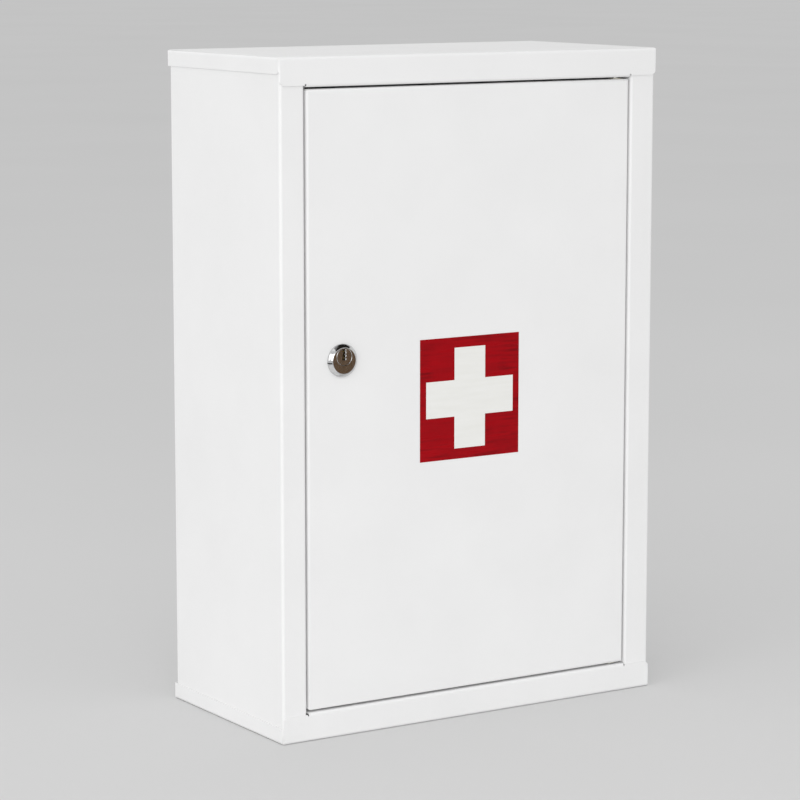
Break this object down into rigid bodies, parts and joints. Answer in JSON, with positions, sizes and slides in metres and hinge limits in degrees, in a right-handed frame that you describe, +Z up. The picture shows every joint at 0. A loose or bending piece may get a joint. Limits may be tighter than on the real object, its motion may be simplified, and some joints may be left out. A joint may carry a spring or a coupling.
{
  "type": "medicine cabinet",
  "caption": "Wall-hung lockable steel medicine cabinet: folded sheet body, hinged door with a cam lock and a red first-aid sign, and fixed shelves inside.",
  "frame": {"origin": "middle of the tray's underside, which the cabinet stands on; the lock's bezel reaches 2.4 mm further forward than the cap", "axes": "+Z up, +X to the right of someone who faces the door, +Y from the door towards the wall"},
  "size_m": [0.3, 0.1524, 0.45],
  "materials": {
    "powder_coated_steel": "white powder coat, half gloss",
    "zinc_plated_steel": "bright zinc",
    "chromed_zinc": "polished chrome plate",
    "brass": "stamped",
    "nylon": "moulded, natural",
    "black_rubber": "moulded, matt",
    "red_film": "printed vinyl film, half gloss"
  },
  "bodies": {
    "cabinet": {"top_cap": "powder_coated_steel", "bottom_tray": "powder_coated_steel", "left_side_panel": "powder_coated_steel", "right_side_panel": "powder_coated_steel", "back_panel": "powder_coated_steel", "upper_shelf": "powder_coated_steel", "lower_shelf": "powder_coated_steel", "upper_left_rail": "powder_coated_steel", "upper_right_rail": "powder_coated_steel", "lower_left_rail": "powder_coated_steel", "lower_right_rail": "powder_coated_steel", "shelf_screws": "zinc_plated_steel", "top_hinge_pin": "zinc_plated_steel", "bottom_hinge_pin": "zinc_plated_steel", "door_buffers": "black_rubber", "thrust_washer": "zinc_plated_steel"},
    "door": {"door_panel": "powder_coated_steel", "first_aid_sign": "red_film", "top_hinge_bush": "nylon", "bottom_hinge_bush": "nylon", "lock_body": "chromed_zinc", "lock_washer": "zinc_plated_steel", "lock_nut": "zinc_plated_steel"},
    "lock": {"lock_plug": "chromed_zinc", "lock_wafers": "brass", "wafer_springs": "zinc_plated_steel", "lock_cam": "zinc_plated_steel", "cam_washer": "zinc_plated_steel", "cam_screw": "zinc_plated_steel"}
  },
  "joints": [
    {"name": "door_hinge", "type": "hinge", "parent": "cabinet", "child": "door", "pos_m": [0.1194, -0.0686, 0.2248], "axis": [0, 0, 1], "range_deg": [0, 120]},
    {"name": "key_turn", "type": "hinge", "parent": "door", "child": "lock", "pos_m": [-0.1033, -0.0741, 0.2548], "axis": [0, 1, 0], "range_deg": [0, 90]}
  ]
}
